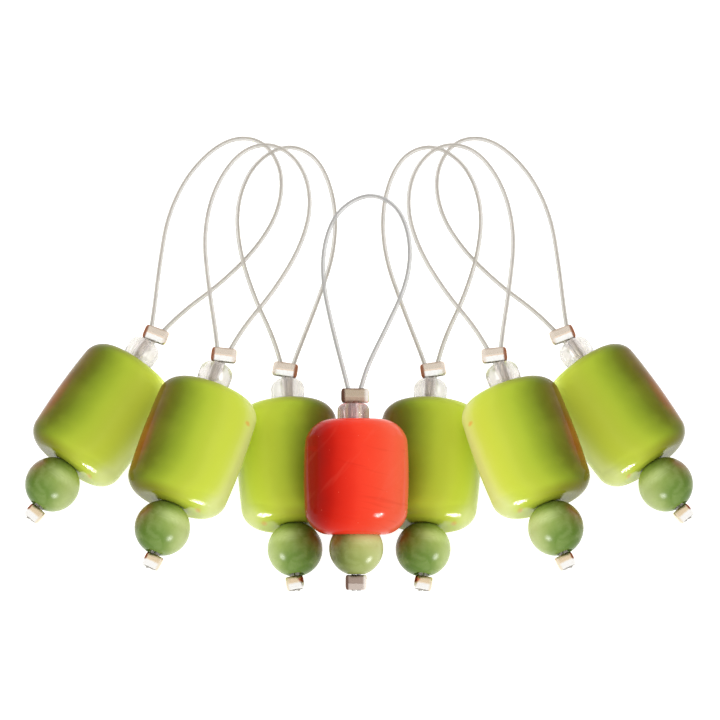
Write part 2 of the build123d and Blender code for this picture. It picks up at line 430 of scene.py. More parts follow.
class Recipe:
    """A material or a node group under construction."""

    def __init__(self, tree: NodeTree) -> None:
        """Work on one node tree."""
        self.tree = tree

    def add(self, kind: str, inputs: dict | None = None, **settings) -> Node:
        """Add a node.

        Args:
            kind: the node's type, without the words ShaderNode in front.
            inputs: its sockets by name or number, each a value or another node's output.
            settings: the node's own properties.
        Returns:
            The node.
        """
        node = self.tree.nodes.new(kind if kind.startswith("Node") else "ShaderNode" + kind)
        for key, value in settings.items():
            setattr(node, key, value)
        for key, value in (inputs or {}).items():
            if isinstance(value, NodeSocket):
                self.tree.links.new(value, node.inputs[key])
            else:
                node.inputs[key].default_value = value
        return node

    def use(self, group: NodeTree, **inputs) -> Node:
        """Place a shared effect."""
        return self.add("Group", inputs, node_tree=group)

    def math(self, operation: str, *values) -> NodeSocket:
        """Work out one number from others."""
        return self.add("Math", dict(enumerate(values)), operation=operation).outputs[0]

    def times(self, *values) -> NodeSocket:
        """Multiply numbers."""
        return reduce(partial(self.math, "MULTIPLY"), values)

    def plus(self, *values) -> NodeSocket:
        """Add numbers up."""
        return reduce(partial(self.math, "ADD"), values)

    def step(self, value: NodeSocket, low: float, high: float) -> NodeSocket:
        """Rise smoothly from 0 to 1 as a value goes from low to high."""
        return self.add("MapRange", {"Value": value, "From Min": low, "From Max": high},
                        interpolation_type="SMOOTHSTEP").outputs["Result"]

    def near(self, value: NodeSocket, middle: float, low: float, high: float) -> NodeSocket:
        """Fall smoothly from 1 to 0 as a value's distance from a middle goes from low to high."""
        far = self.math("ABSOLUTE", self.math("SUBTRACT", value, middle))
        return self.math("SUBTRACT", 1.0, self.step(far, low, high))

    def placed(self, vector: NodeSocket, **sockets) -> NodeSocket:
        """Places as counted from a frame with the given Location, Rotation and Scale."""
        return self.add("Mapping", {"Vector": vector, **sockets}, vector_type="TEXTURE").outputs[0]

    def stretched(self, vector: NodeSocket, scale: tuple) -> NodeSocket:
        """Places multiplied by a scale for each direction."""
        return self.add("Mapping", {"Vector": vector, "Scale": scale}).outputs[0]

    def split(self, vector: NodeSocket) -> list[NodeSocket]:
        """A place's three numbers."""
        return list(self.add("SeparateXYZ", {0: vector}).outputs)

    def mix(self, amount: NodeSocket, first: NodeSocket | tuple, second: NodeSocket | tuple) -> NodeSocket:
        """Mix two colours."""
        return self.add("Mix", {0: amount, 6: first, 7: second}, data_type="RGBA").outputs[2]

    def ramp(self, value: NodeSocket, stops: tuple) -> NodeSocket:
        """Turn a number of -1 to 1 into a colour.

        Args:
            value: the number.
            stops: pairs of a number and its display colour.
        Returns:
            The colour.
        """
        share = self.add("MapRange", {"Value": value, "From Min": -1.0, "From Max": 1.0}).outputs["Result"]
        node = self.add("ValToRGB", {"Fac": share})
        elements = node.color_ramp.elements
        node.color_ramp.interpolation = "CARDINAL"
        while len(elements) < len(stops):
            elements.new(0.5)
        for element, (place, colour) in zip(elements, stops):
            element.position = (place + 1) / 2
            element.color = srgb(*colour)
        return node.outputs["Color"]

    def noise(self, vector: NodeSocket, scale: float, detail: float = 3.0) -> NodeSocket:
        """Soft noise of 0 to 1."""
        return self.add("TexNoise", {"Vector": vector, "Scale": scale, "Detail": detail}).outputs["Fac"]


def new_group(name: str, inputs: dict, outputs: tuple) -> tuple[NodeTree, Recipe, dict]:
    """Start a shader node group.

    Args:
        name: the group's name.
        inputs: its inputs by name, each a kind of socket and a value or None.
        outputs: its outputs, each a name and a kind of socket.
    Returns:
        The group, the recipe to fill it with, and what its Group Input gives.
    """
    group = bpy.data.node_groups.new(name, "ShaderNodeTree")
    for key, (kind, value) in inputs.items():
        socket = group.interface.new_socket(key, in_out="INPUT", socket_type="NodeSocket" + kind)
        if value is not None:
            socket.default_value = value
    for key, kind in outputs:
        group.interface.new_socket(key, in_out="OUTPUT", socket_type="NodeSocket" + kind)
    recipe = Recipe(group)
    return group, recipe, recipe.add("NodeGroupInput").outputs


class Effects:
    """The effects that more than one finish uses, each a node group built once."""

    def __init__(self) -> None:
        """Build every group."""
        self.handling = self.build_handling()
        self.clouding = self.build_clouding()
        self.spot = self.build_spot()

    def build_handling(self) -> NodeTree:
        """Fine crossing scratches and finger smudges: a mask for roughness and a height for bump."""
        group, recipe, given = new_group(
            "handling_marks",
            {"Vector": ("Vector", None), "Fineness": ("Float", 1.0), "Amount": ("Float", 0.5)},
            (("Mask", "Float"), ("Height", "Float")))
        scaled = recipe.add("VectorMath", {0: given["Vector"], "Scale": given["Fineness"]},
                            operation="SCALE").outputs[0]
        smudges = recipe.step(recipe.noise(scaled, 2.3), 0.42, 0.72)
        lines = []
        for turn, squash in ((0.6, 34.0), (-0.9, 27.0)):
            turned = recipe.placed(scaled, Rotation=(0.3, turn, turn), Scale=(1 / squash, 0.6, 2 / squash))
            lines.append(recipe.step(recipe.noise(turned, 1.0, 1.0), 0.66, 0.72))
        scratches = recipe.math("MAXIMUM", *lines)
        recipe.add("NodeGroupOutput", {
            "Mask": recipe.times(recipe.math("MAXIMUM", smudges, scratches), given["Amount"]),
            "Height": recipe.times(scratches, -1.0, given["Amount"])})
        return group

    def build_clouding(self) -> NodeTree:
        """Slow drifts of a second colour through a first, as in glass that wasn't quite mixed."""
        group, recipe, given = new_group(
            "clouding", {"Vector": ("Vector", None), "Colour": ("Color", None), "Drift": ("Color", None),
                         "Scale": ("Float", 1.0), "Amount": ("Float", 0.3)}, (("Colour", "Color"),))
        cloud = recipe.add("TexNoise", {"Vector": given["Vector"], "Scale": given["Scale"],
                                        "Detail": 4.0, "Distortion": 0.6}).outputs["Fac"]
        amount = recipe.times(recipe.step(cloud, 0.4, 0.7), given["Amount"])
        recipe.add("NodeGroupOutput", {"Colour": recipe.mix(amount, given["Colour"], given["Drift"])})
        return group

    def build_spot(self) -> NodeTree:
        """A soft uneven spot round a point: 1 in its middle and 0 past its edge."""
        group, recipe, given = new_group(
            "soft_spot", {"Vector": ("Vector", None), "Centre": ("Vector", None),
                          "Stretch": ("Vector", (1.0, 1.0, 1.0)), "Wobble": ("Float", 0.2)},
            (("Mask", "Float"),))
        offset = recipe.add("VectorMath", {0: given["Vector"], 1: given["Centre"]},
                            operation="SUBTRACT").outputs[0]
        shaped = recipe.add("VectorMath", {0: offset, 1: given["Stretch"]}, operation="DIVIDE").outputs[0]
        far = recipe.add("VectorMath", {0: shaped}, operation="LENGTH").outputs["Value"]
        uneven = recipe.times(recipe.noise(given["Vector"], 14.0), given["Wobble"])
        edge = recipe.step(recipe.math("ADD", far, uneven), 0.35, 1.1)
        recipe.add("NodeGroupOutput", {"Mask": recipe.math("SUBTRACT", 1.0, edge)})
        return group


def empty_tree(owner: Material | World) -> NodeTree:
    """Give a material or a world an empty node tree."""
    owner.use_nodes = True
    owner.node_tree.nodes.clear()
    return owner.node_tree


@dataclass(frozen=True)
class Spot:
    """A soft coloured spot: its middle and reach in the pattern's own unit, and its strength."""

    tint: tuple
    centre: tuple
    stretch: tuple
    wobble: float
    amount: float


class Finish(Recipe):
    """The material of one piece, with a pattern that follows its marker, and its colour so far.

    In the pattern X runs away from the marker's shaded side, Y along the marker towards its loop and
    Z up from the table.
    """

    def __init__(self, effects: Effects, name: str, seat: Seat, unit: float, along: float = 0.0) -> None:
        """Start the material.

        Args:
            effects: the shared effects.
            name: the material's name.
            seat: the marker it is for.
            unit: the length in millimetres that the pattern counts as 1.
            along: the pattern's middle along the marker, in millimetres from the large bead's middle.
        """
        self.effects, self.material = effects, bpy.data.materials.new(f"{seat.name}_{name}")
        super().__init__(empty_tree(self.material))
        self.place = self.placed(
            self.add("TexCoord").outputs["Object"], Location=seat.point(0, along, 0),
            Rotation=seat.matrix.to_euler(), Scale=(unit * MM * seat.hand.value, unit * MM, unit * MM))
        self.colour: NodeSocket | tuple = srgb(255, 255, 255)

    def lay(self, tint: tuple, mask: NodeSocket, amount: NodeSocket | float) -> None:
        """Lay a display colour over the colour, where a mask is and as strongly as the amount says."""
        self.colour = self.mix(self.times(mask, amount), self.colour, srgb(*tint))

    def lay_spot(self, spot: Spot) -> None:
        """Lay a spot over the colour."""
        mask = self.use(self.effects.spot, Vector=self.place, Centre=spot.centre, Stretch=spot.stretch,
                        Wobble=spot.wobble)
        self.lay(spot.tint, mask.outputs[0], spot.amount)

    def cloud(self, drift: tuple, scale: float, amount: float) -> None:
        """Let a second display colour drift through the colour."""
        self.colour = self.use(self.effects.clouding, Vector=self.place, Colour=self.colour,
                               Drift=srgb(*drift), Scale=scale, Amount=amount).outputs[0]

    def wander(self, scale: float, depth: float) -> NodeSocket:
        """Soft noise round 0, with a depth from its lowest to its highest."""
        return self.times(self.math("SUBTRACT", self.noise(self.place, scale), 0.5), depth)

    def handled(self, fineness: float, amount: float) -> list[NodeSocket]:
        """Marks of handling, as a mask and a height."""
        return list(self.use(self.effects.handling, Vector=self.place, Fineness=fineness,
                             Amount=amount).outputs)

    def close(self, wear: NodeSocket, rougher: float, rough: float, sockets: dict,
              bump: tuple[NodeSocket, float, float] | None = None) -> None:
        """End the material in a Principled shader.

        Args:
            wear: what makes the surface rougher, from 0 to 1.
            rougher: how much rougher it makes it.
            rough: the roughness without it.
            sockets: the shader's other sockets.
            bump: a height from 0 to 1, how many metres it stands for, and its strength.
        """
        if bump:
            raised = self.add("Bump", dict(zip(("Height", "Distance", "Strength"), bump)))
            sockets = sockets | {"Normal": raised.outputs[0]}
        shader = self.add("BsdfPrincipled", sockets | {
            "Base Color": self.colour, "Roughness": self.math("MULTIPLY_ADD", wear, rougher, rough)})
        self.add("OutputMaterial", {"Surface": shader.outputs[0]})


@dataclass(frozen=True)
class PressedGlassLook:
    """Painted shade and light of a pressed glass bead, and the colour in its drifts."""

    tones: tuple
    drift: tuple
    drift_amount: float
    end_reach: float


class PressedGlass(Finish):
    """Opaque pressed glass, from painted shade down one side to painted light down the other.

    Lime glass has a brown patch of painted shade low on its shaded side, dark olive painted shade at both
    ends on that side and two orange specks. Red glass has faint slanting streaks and tiny pale dots.
    Places count in bead radii.
    """

    # Painted shade to painted light, listed from the shaded side to the lit side.
    LOOKS = {
        Glass.LIME: PressedGlassLook(
            tones=((-1.0, (125, 90, 35)), (-0.72, (105, 95, 25)), (-0.4, (120, 135, 35)),
                   (0.0, (170, 190, 55)), (0.4, (195, 210, 70)), (0.8, (210, 225, 90)),
                   (1.0, (230, 240, 150))),
            drift=(200, 204, 70), drift_amount=0.07, end_reach=0.16),
        Glass.RED: PressedGlassLook(
            tones=((-1.0, (150, 35, 25)), (-0.7, (160, 25, 15)), (-0.4, (210, 35, 20)), (0.0, (248, 62, 40)),
                   (0.5, (253, 85, 57)), (1.0, (250, 108, 78))),
            drift=(206, 26, 16), drift_amount=0.05, end_reach=0.12),
    }
    # Painted shade: a brown patch low on the shaded side.
    STAIN = Spot((148, 84, 26), (-0.90, -0.28, 0.42), (0.34, 0.78, 0.6), wobble=0.3, amount=0.85)
    SPECKS = tuple(Spot((238, 164, 66), centre, (size, size, 0.25), wobble=0.4, amount=0.6)
                   for centre, size in (((0.55, -1.17, 0.27), 0.10), ((0.88, 0.68, 0.42), 0.07)))
    # Painted shade: dark olive at both ends of the bead on its shaded side.
    RIM, RIM_AMOUNT, RIM_REACH, RIM_SIDE = (112, 94, 14), 0.6, (0.98, 1.16), (0.5, -0.4)
    DARK_STREAK, PALE_STREAK = (206, 26, 16), (255, 140, 116)
    STREAK_SCALE, STREAK_EDGE = 0.9, (0.60, 0.74)
    DOT_SCALE, DOT_EDGE, DOT_AMOUNT = 5.0, (0.02, 0.06), 0.5
    END_REACH, LOW_REACH, UNEVEN = (0.72, 1.2), (-0.3, -1.1), (1.3, 0.14)
    CLOUD_SCALE, HANDLING, BUMP = 1.7, (1.4, 0.35), (0.00002, 0.25)

    def __init__(self, effects: Effects, seat: Seat) -> None:
        """Dress one marker's large bead."""
        super().__init__(effects, seat.glass.value, seat, seat.sizes.bead_radius)
        look, lime = self.LOOKS[seat.glass], seat.glass is Glass.LIME
        x, y, _ = self.split(self.place)
        off = self.math("ABSOLUTE", y)
        # Painted shade and light from the shaded to the lit side, lighter near both ends and at the low end.
        ends = self.times(self.step(off, *self.END_REACH), look.end_reach)
        low = self.times(self.step(y, *self.LOW_REACH), look.end_reach / 2)
        self.colour = self.ramp(self.plus(x, ends, low, self.wander(*self.UNEVEN)), look.tones)
        if lime:
            # Painted shade: a brown patch low on the shaded side.
            self.lay_spot(self.STAIN)
            # Painted shade: dark olive at both ends on the shaded side.
            rim = self.times(self.step(off, *self.RIM_REACH), self.step(x, *self.RIM_SIDE))
            self.lay(self.RIM, rim, self.RIM_AMOUNT)
        self.cloud(look.drift, self.CLOUD_SCALE, look.drift_amount)
        if lime:
            for speck in self.SPECKS:
                self.lay_spot(speck)
        else:
            self.lay_streaks()
        mask, height = self.handled(*self.HANDLING)
        self.close(mask, 0.12, 0.12, {"IOR": 1.12}, bump=(height, *self.BUMP))

    def lay_streaks(self) -> None:
        """Lay two sets of slanting streaks and a scatter of dots over the colour."""
        for turn, squash, tint, amount in ((-0.22, 0.11, self.DARK_STREAK, 0.15),
                                           (0.9, 0.16, self.PALE_STREAK, 0.05)):
            turned = self.placed(self.place, Rotation=(0.0, 0.0, turn), Scale=(1.0, squash, 1.0))
            self.lay(tint, self.step(self.noise(turned, self.STREAK_SCALE, 2.0), *self.STREAK_EDGE), amount)
        far = self.add("TexVoronoi", {"Vector": self.place, "Scale": self.DOT_SCALE}).outputs["Distance"]
        self.lay(self.PALE_STREAK, self.near(far, 0.0, *self.DOT_EDGE), self.DOT_AMOUNT)


class CatsEyeGlass(Finish):
    """Fibrous green glass, from painted shade on one side to painted light on the other.

    A painted band of sheen crosses its fibres on the lit side, a brown patch of painted shade lies high on
    the shaded side, and it darkens to deep green towards its low end. Places count in ball radii.
    """

    # Painted shade to painted light, listed from the shaded side to the lit side.
    TONES = {
        Glass.LIME: ((-1.0, (135, 105, 55)), (-0.6, (108, 110, 38)), (0.0, (137, 160, 74)),
                     (0.5, (176, 196, 110)), (1.0, (205, 220, 148))),
        Glass.RED: ((-1.0, (120, 105, 65)), (-0.65, (103, 101, 46)), (-0.15, (156, 162, 87)),
                    (0.35, (190, 198, 120)), (1.0, (208, 214, 146))),
    }
    # The pale colour serves the painted sheen band and the drifts through the glass; the deep one darkens
    # the low end.
    PALE, DEEP = (222, 238, 166), (78, 120, 28)
    DEEP_AMOUNT = {Glass.LIME: 0.62, Glass.RED: 0.25}
    DEEP_REACH, DEEP_SIDE = (0.16, -0.55), (0.95, 0.2)
    # Painted sheen: a pale band across the fibres, on the lit side.
    BAND_PLACE, BAND_EDGE, BAND_SIDE = 0.34, (0.04, 0.34), (-0.45, 0.45)
    # Painted shade: a brown patch high on the shaded side.
    PATCH = Spot((134, 92, 36), (-0.72, 0.30, 0.60), (0.42, 0.42, 0.5), wobble=0.3, amount=0.7)
    FIBRES, FIBRE_SHIFT, CLOUD, HANDLING = (1.2, 16.0, 16.0), 0.10, (2.2, 0.12), (1.0, 0.3)

    def __init__(self, effects: Effects, seat: Seat) -> None:
        """Dress one marker's ball."""
        super().__init__(effects, "cats_eye_glass", seat, seat.sizes.ball_radius, seat.sizes.ball_place)
        x, y, _ = self.split(self.place)
        fibre = self.noise(self.stretched(self.place, self.FIBRES), 1.0, 2.0)
        shift = self.times(self.math("SUBTRACT", fibre, 0.5), self.FIBRE_SHIFT)
        # Painted shade and light: the colour runs from the shaded side to the lit side.
        self.colour = self.ramp(self.plus(x, shift), self.TONES[seat.glass])
        deep = self.times(self.step(y, *self.DEEP_REACH), self.step(x, *self.DEEP_SIDE))
        self.lay(self.DEEP, deep, self.DEEP_AMOUNT[seat.glass])
        # Painted sheen: a pale band across the fibres, on the lit side.
        band = self.times(self.near(y, self.BAND_PLACE, *self.BAND_EDGE), self.step(x, *self.BAND_SIDE))
        self.lay(self.PALE, band, self.math("MULTIPLY_ADD", fibre, 0.6, 0.4))
        # Painted shade: a brown patch high on the shaded side.
        self.lay_spot(self.PATCH)
        self.cloud(self.PALE, *self.CLOUD)
        self.close(self.handled(*self.HANDLING)[0], 0.15, 0.24, {"IOR": 1.25})


class ClearGlass(Finish):
    """Clear glass with fine drawn lines along it, each kind with its clear, tinted and shaded colours.

    The shaded colour is painted shade, laid as a band towards the shaded side.
    """

    LOOKS = {
        Glass.LIME: ((250, 248, 249), (222, 217, 216), (182, 170, 158)),
        Glass.RED: ((255, 244, 242), (212, 172, 170), (146, 104, 98)),
    }
    LINES, LINE_EDGE, BUMP = (14.0, 0.6, 14.0), (0.45, 0.7), (0.00003, 0.4)
    # Painted shade: a darker band towards the shaded side.
    BAND_PLACE, BAND_EDGE, BAND_AMOUNT = -0.35, (0.08, 0.5), 0.6

    def __init__(self, effects: Effects, seat: Seat) -> None:
        """Dress one marker's seed bead."""
        super().__init__(effects, "clear_glass", seat, seat.sizes.seed_radius, seat.sizes.seed_middle)
        lines = self.noise(self.stretched(self.place, self.LINES), 1.0, 2.0)
        clear, tint, shade = self.LOOKS[seat.glass]
        self.colour = self.mix(self.step(lines, *self.LINE_EDGE), srgb(*clear), srgb(*tint))
        # Painted shade: a darker band towards the shaded side.
        x = self.split(self.place)[0]
        self.lay(shade, self.near(x, self.BAND_PLACE, *self.BAND_EDGE), self.BAND_AMOUNT)
        self.close(lines, 0.05, 0.01, {"IOR": 1.4, "Transmission Weight": 0.72}, bump=(lines, *self.BUMP))


@dataclass(frozen=True)
class PlatingLook:
    """Colours of a crimp's plating, most of them painted light.

    Its upper and lower halves and the line at the ridge between them are painted reflection. The lip and
    the end on the shaded side are darkened as painted shade, in brown; the lip's colour also tints the
    grain. The end on the lit side is lightened as painted light.
    """

    upper: tuple
    lower: tuple
    seam: tuple
    lip: tuple
    worn: tuple
    bright_end: tuple
    worn_from: float


# Painted reflection, shade and light for each kind of crimp.
PLATING_LOOKS = {
    (Glass.LIME, "neck_crimp"): PlatingLook(
        upper=(220, 206, 190), lower=(255, 254, 250), seam=(238, 204, 168), lip=(180, 156, 138),
        worn=(150, 98, 72), bright_end=(240, 226, 212), worn_from=-2.0),
    (Glass.LIME, "tail_crimp"): PlatingLook(
        upper=(232, 210, 176), lower=(252, 250, 246), seam=(242, 222, 190), lip=(190, 152, 104),
        worn=(134, 70, 40), bright_end=(246, 232, 206), worn_from=-0.3),
    (Glass.RED, "neck_crimp"): PlatingLook(
        upper=(190, 172, 150), lower=(186, 160, 140), seam=(206, 188, 166), lip=(122, 92, 76),
        worn=(96, 66, 54), bright_end=(252, 246, 238), worn_from=-2.0),
    (Glass.RED, "tail_crimp"): PlatingLook(
        upper=(168, 148, 136), lower=(206, 190, 180), seam=(128, 102, 88), lip=(112, 90, 76),
        worn=(112, 86, 74), bright_end=(255, 246, 236), worn_from=-2.0),
}


class PlatedMetal(Finish):
    """Champagne silver plating over brass, with painted reflection, painted shade and painted light.

    Places count in halves of the crimp's width, along the crimp's own turned directions.
    """

    # Painted reflection: the split between a darker upper half and a white lower half, and the line at the
    # ridge.
    WANDER, UPPER_EDGE = (1.6, 0.24), (-0.10, 0.04)
    SEAM_PLACE, SEAM_EDGE, SEAM_AMOUNT = -0.07, (0.0, 0.10), 0.7
    # Painted shade: brown along the crimp's upper end; its colour also tints the grain.
    LIP_FROM, LIP_AMOUNT = 0.72, 0.85
    # Painted light: the end on the lit side lightened.
    BRIGHT_EDGE, BRIGHT_AMOUNT = (0.55, 0.85), 0.9
    # Painted shade: dark brown at the end on the shaded side.
    WORN_EDGE, WORN_WANDER, WORN_RISE = (-0.66, -0.82), 0.8, 0.3
    GRAIN, GRAIN_SCALE, GRAIN_EDGE, GRAIN_AMOUNT = (3.0, 14.0, 14.0), 1.4, (0.55, 0.75), 0.22
    HANDLING, BUMP = (2.0, 0.6), (0.00004, 0.25)

    def __init__(self, effects: Effects, seat: Seat, crimp: Crimp) -> None:
        """Dress one crimp of one marker."""
        look, unit, lip = PLATING_LOOKS[seat.glass, crimp.node], crimp.width / 2, crimp.length / crimp.width
        super().__init__(effects, f"{crimp.node}_plating", seat, unit, crimp.middle)
        self.place = self.placed(self.place, Location=(crimp.offset / unit, 0.0, 0.0),
                                 Rotation=(0.0, 0.0, float(np.radians(crimp.turn))))
        x, y, _ = self.split(self.place)
        grain = self.noise(self.stretched(self.place, self.GRAIN), self.GRAIN_SCALE)
        wander = self.wander(*self.WANDER)
        level, rubbed = self.plus(y, wander), self.plus(x, self.times(wander, self.WORN_WANDER))
        # Painted reflection: a darker upper half and a white lower half, with a line at the ridge between
        # them.
        self.colour = self.mix(self.step(level, *self.UPPER_EDGE), srgb(*look.lower), srgb(*look.upper))
        self.lay(look.seam, self.near(level, self.SEAM_PLACE, *self.SEAM_EDGE), self.SEAM_AMOUNT)
        # Painted shade: brown along the upper end.
        self.lay(look.lip, self.step(level, lip * self.LIP_FROM, lip), self.LIP_AMOUNT)
        # Painted light: the end on the lit side lightened.
        self.lay(look.bright_end, self.step(x, *self.BRIGHT_EDGE), self.BRIGHT_AMOUNT)
        # Painted shade: dark brown at the end on the shaded side.
        self.lay(look.worn, self.step(rubbed, *self.WORN_EDGE),
                 self.step(level, look.worn_from, look.worn_from + self.WORN_RISE))
        self.lay(look.lip, self.step(grain, *self.GRAIN_EDGE), self.GRAIN_AMOUNT)
        mask, _ = self.handled(*self.HANDLING)
        self.close(mask, 0.2, 0.26, {"Metallic": 1.0}, bump=(grain, *self.BUMP))


class SteelCable(Finish):
    """Twisted steel, from a darker to a lighter grey. Places count in millimetres."""

    TONES = {Glass.LIME: ((148, 134, 118), (194, 182, 168)), Glass.RED: ((118, 112, 110), (168, 162, 158))}

    def __init__(self, effects: Effects, seat: Seat) -> None:
        """Dress one marker's cable."""
        super().__init__(effects, "steel_cable", seat, 1.0)
        grain = self.noise(self.place, 9.0, 2.0)
        dark, light = self.TONES[seat.glass]
        self.colour = self.mix(grain, srgb(*dark), srgb(*light))
        self.close(grain, 0.2, 0.3, {"Metallic": 0.3})


class NylonCoat(Finish):
    """Nylon, milky and half see-through. Places count in millimetres."""

    TINT = {Glass.LIME: (226, 221, 212), Glass.RED: (214, 213, 211)}
    HAZE, CLOUD = (206, 202, 196), (0.8, 0.5)

    def __init__(self, effects: Effects, seat: Seat) -> None:
        """Dress one marker's coat."""
        super().__init__(effects, "nylon_coat", seat, 1.0)
        self.colour = srgb(*self.TINT[seat.glass])
        self.cloud(self.HAZE, *self.CLOUD)
        milk = self.math("MULTIPLY_ADD", self.noise(self.place, 2.0), 0.20, 0.44)
        self.close(milk, 0.2, 0.15, {"IOR": 1.3, "Alpha": milk})


@dataclass
class Marker:
    """One stitch marker: beads, crimps and the doubled wire that holds them. Lengths in millimetres."""

    seat: Seat
    effects: Effects
    turns: int = 96
    wire_radius: float = 0.25
    coat_sides: int = 16
    cable_radius: float = 0.10
    # Painted shade: how far the real cable sits off the middle towards the shaded side, drawing a dark line
    # there.
    cable_shift: float = 0.12
    cable_lay: float = 1.5
    strands: int = 6
    strand_depth: float = 0.14
    wire_spacing: float = 0.56
    wire_stub: float = 0.1
    route_step: float = 0.12
    corner_steps: int = 24
    ripple: float = 0.012
    pieces: list = field(default_factory=list)

    WALL_STEPS, RIDGE_FALL, RIDGE_POWER, LIP = 25, 0.26, 2.2, (0.66, 0.5)
    WIDE_POWER, HIGH_POWER = 0.72, 0.62
    DENT, DENT_WAVE, PINCH, PINCH_POWER = 0.05, (3.1, 2.0), 0.11, 5

    def build(self) -> list:
        """Make every piece, the three beads first, dress it and set it on its body."""
        seat, effects = self.seat, self.effects
        for node, grid, finish, slot in (
                ("large_bead", self.bead_grid(), PressedGlass, seat.glass.value),
                ("small_ball", self.ball_grid(), CatsEyeGlass, "cats_eye_glass"),
                ("seed_bead", self.seed_grid(), ClearGlass, "clear_glass")):
            self.place(node, grid, True, finish(effects, seat), node, slot)
        for crimp in seat.sizes.crimps:
            metal = PlatedMetal(effects, seat, crimp)
            self.place(crimp.node, self.crimp_grid(crimp), True, metal, "wire", "plated_crimp")
        route = self.wire_route()
        coat = tube_grid(route, self.wire_radius, even_angles(self.coat_sides))
        cable = self.cable_grid(route)
        self.place("wire_coating", coat, False, NylonCoat(effects, seat), "wire", "nylon_coat")
        self.place("wire_core", cable, False, SteelCable(effects, seat), "wire", "steel_cable")
        return self.pieces

    def place(self, node: str, grid: np.ndarray, ring: bool, finish: Finish,
              body: str, slot: str) -> None:
        """Turn a grid into the piece that stands for one node.

        Args:
            node: the node's name within the marker.
            grid: its points in the marker's own millimetres.
            ring: whether the grid closes both ways.
            finish: its finish.
            body: the body it rides on, within the marker.
            slot: the name of a material slot; not used.
        """
        name = f"{self.seat.name}_{node}"
        piece = solid_mesh(f"{name}_shape", self.seat.out(grid.reshape(-1, 3)).reshape(grid.shape), ring)
        piece.data.materials.append(finish.material)
        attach(piece, f"{self.seat.name}_{body}")
        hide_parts(name)
        self.pieces.append(piece)
        LOG.info("%s: %d faces", piece.name, len(piece.data.polygons))

    def bead_outline(self) -> np.ndarray:
        """The large bead's outline: end pockets, shoulders that are arcs, and a bellied side."""
        s = self.seat.sizes
        edge, half = s.bead_radius - s.bead_belly, s.half
        low = self.pocket(s.ball_radius + s.gap, s.ball_sink, -1)
        high = self.pocket(s.seed_pocket, s.seed_sink, 1)
        outside = barrel(edge, half, s.bead_shoulder, (low[-1, 0], high[0, 0]), (6, 22, 30))
        outline = np.concatenate([low, outside, high, straight(tuple(high[-1]), tuple(low[0]), 12)])
        belly = s.bead_belly * (1 - (outline[:, 1] / half) ** 2)
        share = np.clip((outline[:, 0] - s.bead_bore) / (edge - s.bead_bore), 0, 1) ** 3
        outline[:, 0] += belly * share
        return outline

    def pocket(self, radius: float, sink: float, side: int) -> np.ndarray:
        """The hollow in one end of the large bead that its neighbour sits in, from bore to rim or back."""
        s = self.seat.sizes
        if not sink:
            ends = np.array([[s.bead_bore, side * (s.half - s.rim)], [s.bead_bore + s.rim, side * s.half]])
            return ends if side < 0 else ends[::-1]
        centre = s.half + radius - sink
        rim = np.sqrt(radius ** 2 - (radius - sink) ** 2)
        across = np.linspace(s.bead_bore, rim - s.rim / 3, 16)
        hollow = np.column_stack([across, side * (centre - np.sqrt(radius ** 2 - across ** 2))])
        lip = np.array([[rim + s.rim, side * s.half]])
        points = np.concatenate([hollow, lip])
        return points if side < 0 else points[::-1]

    def bead_grid(self) -> np.ndarray:
        """The large bead, turned, then drawn in by slow waves of up to the ripple's depth.

        With a the angle and y the place along, they are sin(2a + 0.7y) sin(0.9y + 1) + sin(3a - 0.5y).
        """
        outline = self.bead_outline()
        grid = lathe(outline, self.turns)
        angle = even_angles(self.turns)
        along = outline[:, 1:]
        wave = np.sin(2 * angle + 0.7 * along) * np.sin(0.9 * along + 1.0) + np.sin(3 * angle - 0.5 * along)
        outer = np.clip(outline[:, :1] / self.seat.sizes.bead_radius, 0, 1) ** 4
        inward = 1 - self.ripple * (wave + 2) / 4 * outer / self.seat.sizes.bead_radius
        return grid * np.stack([inward, np.ones_like(inward), inward], axis=-1)

    def ball_grid(self) -> np.ndarray:
        """The small ball: an arc between the two mouths of its bore, turned, with softened mouths."""
        s = self.seat.sizes
        mouth = np.degrees(np.arccos((s.ball_bore + s.rim) / s.ball_radius))
        lip = s.ball_radius * np.sin(np.radians(mouth))
        outline = np.concatenate([
            arc((0.0, 0.0), s.ball_radius, -mouth, mouth, 64),
            np.array([[s.ball_bore + s.rim / 3, lip - s.rim / 4], [s.ball_bore, lip - s.rim]]),
            straight((s.ball_bore, lip - s.rim), (s.ball_bore, -lip + s.rim), 8),
            np.array([[s.ball_bore, -lip + s.rim], [s.ball_bore + s.rim / 3, -lip + s.rim / 4]]),
        ])
        outline[:, 1] += s.ball_place
        return lathe(outline, self.turns)

    def seed_grid(self) -> np.ndarray:
        """The seed bead: a short tube with well rounded ends, turned beside the marker's axis."""
        s = self.seat.sizes
        half, flat = s.seed_length / 2, s.seed_bore + s.rim / 2
        outline = np.concatenate([
            barrel(s.seed_radius, half, s.seed_rounding, (flat, flat), (2, 20, 6)),
            arc((flat, half - s.rim / 2), s.rim / 2, 90, 180, 5),
            straight((s.seed_bore, half - s.rim / 2), (s.seed_bore, -half + s.rim / 2), 8),
            arc((flat, -half + s.rim / 2), s.rim / 2, 180, 270, 5),
        ])
        outline[:, 1] += s.seed_middle
        return lathe(outline, self.turns) + np.array([s.seed_offset, 0.0, 0.0])

